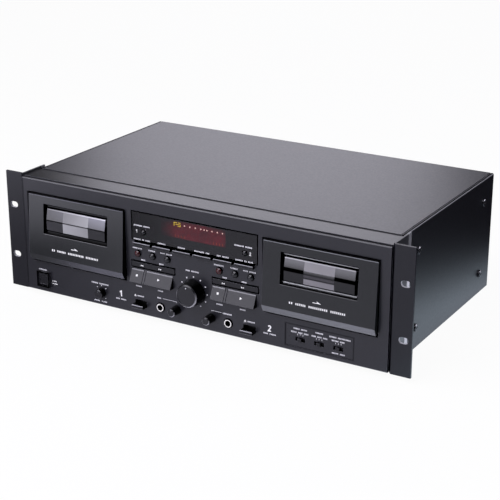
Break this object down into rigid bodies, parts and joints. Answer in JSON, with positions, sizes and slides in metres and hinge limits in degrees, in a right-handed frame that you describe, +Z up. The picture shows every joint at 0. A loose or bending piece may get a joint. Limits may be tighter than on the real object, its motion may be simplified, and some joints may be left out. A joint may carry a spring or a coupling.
{
  "type": "double cassette deck",
  "caption": "Rack-mount double cassette deck: black steel case, rack ears, hinged cassette doors with smoked windows, display, push keys, level knobs, jacks and slide switches.",
  "frame": {"origin": "centre of the deck's footprint, on the surface under its feet", "axes": "+X to the right along the front panel, +Y towards the back, +Z up"},
  "size_m": [0.4826, 0.2854, 0.138],
  "materials": {
    "black_steel": "satin black powder coat",
    "zinc_steel": "zinc-plated sheet",
    "black_screw": "black zinc",
    "black_plastic": "fine moulded satin",
    "door_plastic": "fine moulded satin",
    "smoked_lens": "smoked clear acrylic",
    "display_lens": "dark filter acrylic",
    "grey_key": "moulded satin grey",
    "black_button": "moulded satin",
    "red_button": "moulded satin dark red",
    "knob_plastic": "moulded satin",
    "switch_plastic": "moulded",
    "reel_plastic": "moulded",
    "nickel": "nickel plate",
    "turned_steel": "turned steel",
    "board_laminate": "solder-masked laminate",
    "core_iron": "varnished core",
    "rubber": "moulded rubber"
  },
  "bodies": {
    "case": {"chassis_base": "zinc_steel", "top_cover": "black_steel", "rear_panel": "black_steel", "front_panel": "black_plastic", "rack_ears": "black_steel", "case_screws": "black_screw", "feet": "rubber", "display_window": "display_lens", "control_board": "board_laminate", "panel_switches": "switch_plastic", "main_board": "board_laminate", "power_transformer": "core_iron", "front_jacks": "nickel", "phono_sockets": "nickel", "mains_inlet": "switch_plastic", "transport_frames": "zinc_steel", "capstan_motors": "turned_steel", "drive_belts": "rubber"},
    "door_1": {"door_1": "door_plastic", "door_window_1": "smoked_lens"},
    "flywheel_1": {"flywheel_1": "turned_steel"},
    "supply_reel_1": {"supply_reel_1": "reel_plastic"},
    "takeup_reel_1": {"takeup_reel_1": "reel_plastic"},
    "head_slide_1": {"head_slide_1": "turned_steel"},
    "eject_key_1": {"eject_key_1": "black_plastic"},
    "record_button_1": {"record_button_1": "red_button"},
    "pause_button_1": {"pause_button_1": "black_button"},
    "mute_button_1": {"mute_button_1": "black_button"},
    "counter_button_1": {"counter_button_1": "black_button"},
    "stop_key_1": {"stop_key_1": "grey_key"},
    "play_key_1": {"play_key_1": "grey_key"},
    "wind_rocker_1": {"wind_rocker_1": "black_plastic"},
    "door_2": {"door_2": "door_plastic", "door_window_2": "smoked_lens"},
    "flywheel_2": {"flywheel_2": "turned_steel"},
    "supply_reel_2": {"supply_reel_2": "reel_plastic"},
    "takeup_reel_2": {"takeup_reel_2": "reel_plastic"},
    "head_slide_2": {"head_slide_2": "turned_steel"},
    "eject_key_2": {"eject_key_2": "black_plastic"},
    "record_button_2": {"record_button_2": "red_button"},
    "pause_button_2": {"pause_button_2": "black_button"},
    "mute_button_2": {"mute_button_2": "black_button"},
    "counter_button_2": {"counter_button_2": "black_button"},
    "stop_key_2": {"stop_key_2": "grey_key"},
    "play_key_2": {"play_key_2": "grey_key"},
    "wind_rocker_2": {"wind_rocker_2": "black_plastic"},
    "return_key_1": {"return_key_1": "grey_key"},
    "dimmer_key": {"dimmer_key": "grey_key"},
    "repeat_key": {"repeat_key": "grey_key"},
    "parallel_key": {"parallel_key": "grey_key"},
    "dub_key": {"dub_key": "grey_key"},
    "return_key_2": {"return_key_2": "grey_key"},
    "record_level_knob": {"record_level_knob": "knob_plastic"},
    "mic_level_knob": {"mic_level_knob": "knob_plastic"},
    "phones_level_knob": {"phones_level_knob": "knob_plastic"},
    "pitch_knob": {"pitch_knob": "knob_plastic"},
    "play_mode_slider": {"play_mode_slider": "switch_plastic"},
    "timer_slider": {"timer_slider": "switch_plastic"},
    "noise_reduction_slider": {"noise_reduction_slider": "switch_plastic"},
    "power_button": {"power_button": "black_button"}
  },
  "joints": [
    {"name": "door_hinge_1", "type": "hinge", "parent": "case", "child": "door_1", "pos_m": [-0.14525, -0.12305, 0.0485], "axis": [1, 0, 0], "range_deg": [0, 25]},
    {"name": "flywheel_spin_1", "type": "hinge", "parent": "case", "child": "flywheel_1", "pos_m": [-0.12325, -0.10905, 0.062], "axis": [0, 1, 0], "continuous": true},
    {"name": "supply_reel_spin_1", "type": "hinge", "parent": "case", "child": "supply_reel_1", "pos_m": [-0.1665, -0.10905, 0.09], "axis": [0, 1, 0], "continuous": true},
    {"name": "takeup_reel_spin_1", "type": "hinge", "parent": "case", "child": "takeup_reel_1", "pos_m": [-0.124, -0.10905, 0.09], "axis": [0, 1, 0], "continuous": true},
    {"name": "head_lift_1", "type": "slide", "parent": "case", "child": "head_slide_1", "axis": [0, 0, 1], "range_m": [0, 0.0067]},
    {"name": "eject_press_1", "type": "slide", "parent": "case", "child": "eject_key_1", "axis": [0, 1, 0], "range_m": [0, 0.004], "stiffness_N_per_m": 250},
    {"name": "record_button_press_1", "type": "slide", "parent": "case", "child": "record_button_1", "axis": [0, 1, 0], "range_m": [0, 0.0012], "stiffness_N_per_m": 500},
    {"name": "pause_button_press_1", "type": "slide", "parent": "case", "child": "pause_button_1", "axis": [0, 1, 0], "range_m": [0, 0.0012], "stiffness_N_per_m": 500},
    {"name": "mute_button_press_1", "type": "slide", "parent": "case", "child": "mute_button_1", "axis": [0, 1, 0], "range_m": [0, 0.0012], "stiffness_N_per_m": 500},
    {"name": "counter_button_press_1", "type": "slide", "parent": "case", "child": "counter_button_1", "axis": [0, 1, 0], "range_m": [0, 0.0012], "stiffness_N_per_m": 500},
    {"name": "stop_key_press_1", "type": "slide", "parent": "case", "child": "stop_key_1", "axis": [0, 1, 0], "range_m": [0, 0.0012], "stiffness_N_per_m": 500},
    {"name": "play_key_press_1", "type": "slide", "parent": "case", "child": "play_key_1", "axis": [0, 1, 0], "range_m": [0, 0.0012], "stiffness_N_per_m": 500},
    {"name": "wind_rock_1", "type": "hinge", "parent": "case", "child": "wind_rocker_1", "pos_m": [-0.0495, -0.12155, 0.06245], "axis": [0, 0, 1], "range_deg": [-3, 3], "stiffness_Nm_per_rad": 0.1},
    {"name": "door_hinge_2", "type": "hinge", "parent": "case", "child": "door_2", "pos_m": [0.14525, -0.12305, 0.0485], "axis": [1, 0, 0], "range_deg": [0, 25]},
    {"name": "flywheel_spin_2", "type": "hinge", "parent": "case", "child": "flywheel_2", "pos_m": [0.16725, -0.10905, 0.062], "axis": [0, 1, 0], "continuous": true},
    {"name": "supply_reel_spin_2", "type": "hinge", "parent": "case", "child": "supply_reel_2", "pos_m": [0.124, -0.10905, 0.09], "axis": [0, 1, 0], "continuous": true},
    {"name": "takeup_reel_spin_2", "type": "hinge", "parent": "case", "child": "takeup_reel_2", "pos_m": [0.1665, -0.10905, 0.09], "axis": [0, 1, 0], "continuous": true},
    {"name": "head_lift_2", "type": "slide", "parent": "case", "child": "head_slide_2", "axis": [0, 0, 1], "range_m": [0, 0.0067]},
    {"name": "eject_press_2", "type": "slide", "parent": "case", "child": "eject_key_2", "axis": [0, 1, 0], "range_m": [0, 0.004], "stiffness_N_per_m": 250},
    {"name": "record_button_press_2", "type": "slide", "parent": "case", "child": "record_button_2", "axis": [0, 1, 0], "range_m": [0, 0.0012], "stiffness_N_per_m": 500},
    {"name": "pause_button_press_2", "type": "slide", "parent": "case", "child": "pause_button_2", "axis": [0, 1, 0], "range_m": [0, 0.0012], "stiffness_N_per_m": 500},
    {"name": "mute_button_press_2", "type": "slide", "parent": "case", "child": "mute_button_2", "axis": [0, 1, 0], "range_m": [0, 0.0012], "stiffness_N_per_m": 500},
    {"name": "counter_button_press_2", "type": "slide", "parent": "case", "child": "counter_button_2", "axis": [0, 1, 0], "range_m": [0, 0.0012], "stiffness_N_per_m": 500},
    {"name": "stop_key_press_2", "type": "slide", "parent": "case", "child": "stop_key_2", "axis": [0, 1, 0], "range_m": [0, 0.0012], "stiffness_N_per_m": 500},
    {"name": "play_key_press_2", "type": "slide", "parent": "case", "child": "play_key_2", "axis": [0, 1, 0], "range_m": [0, 0.0012], "stiffness_N_per_m": 500},
    {"name": "wind_rock_2", "type": "hinge", "parent": "case", "child": "wind_rocker_2", "pos_m": [0.0495, -0.12155, 0.06245], "axis": [0, 0, 1], "range_deg": [-3, 3], "stiffness_Nm_per_rad": 0.1},
    {"name": "return_key_1_press", "type": "slide", "parent": "case", "child": "return_key_1", "axis": [0, 1, 0], "range_m": [0, 0.0012], "stiffness_N_per_m": 500},
    {"name": "dimmer_key_press", "type": "slide", "parent": "case", "child": "dimmer_key", "axis": [0, 1, 0], "range_m": [0, 0.0012], "stiffness_N_per_m": 500},
    {"name": "repeat_key_press", "type": "slide", "parent": "case", "child": "repeat_key", "axis": [0, 1, 0], "range_m": [0, 0.0012], "stiffness_N_per_m": 500},
    {"name": "parallel_key_press", "type": "slide", "parent": "case", "child": "parallel_key", "axis": [0, 1, 0], "range_m": [0, 0.0012], "stiffness_N_per_m": 500},
    {"name": "dub_key_press", "type": "slide", "parent": "case", "child": "dub_key", "axis": [0, 1, 0], "range_m": [0, 0.0012], "stiffness_N_per_m": 500},
    {"name": "return_key_2_press", "type": "slide", "parent": "case", "child": "return_key_2", "axis": [0, 1, 0], "range_m": [0, 0.0012], "stiffness_N_per_m": 500},
    {"name": "record_level_knob_turn", "type": "hinge", "parent": "case", "child": "record_level_knob", "pos_m": [0, -0.12775, 0.046], "axis": [0, 1, 0], "range_deg": [-150, 150]},
    {"name": "mic_level_knob_turn", "type": "hinge", "parent": "case", "child": "mic_level_knob", "pos_m": [-0.021, -0.12775, 0.022], "axis": [0, 1, 0], "range_deg": [-150, 150]},
    {"name": "phones_level_knob_turn", "type": "hinge", "parent": "case", "child": "phones_level_knob", "pos_m": [0.021, -0.12775, 0.022], "axis": [0, 1, 0], "range_deg": [-150, 150]},
    {"name": "pitch_knob_turn", "type": "hinge", "parent": "case", "child": "pitch_knob", "pos_m": [-0.117, -0.12775, 0.0215], "axis": [0, 1, 0], "range_deg": [-140, 140]},
    {"name": "play_mode_slider_shift", "type": "slide", "parent": "case", "child": "play_mode_slider", "axis": [1, 0, 0], "range_m": [-0.003, 0.003]},
    {"name": "timer_slider_shift", "type": "slide", "parent": "case", "child": "timer_slider", "axis": [1, 0, 0], "range_m": [-0.003, 0.003]},
    {"name": "noise_reduction_slider_shift", "type": "slide", "parent": "case", "child": "noise_reduction_slider", "axis": [1, 0, 0], "range_m": [-0.003, 0.003]},
    {"name": "power_press", "type": "slide", "parent": "case", "child": "power_button", "axis": [0, 1, 0], "range_m": [0, 0.003], "stiffness_N_per_m": 400}
  ]
}
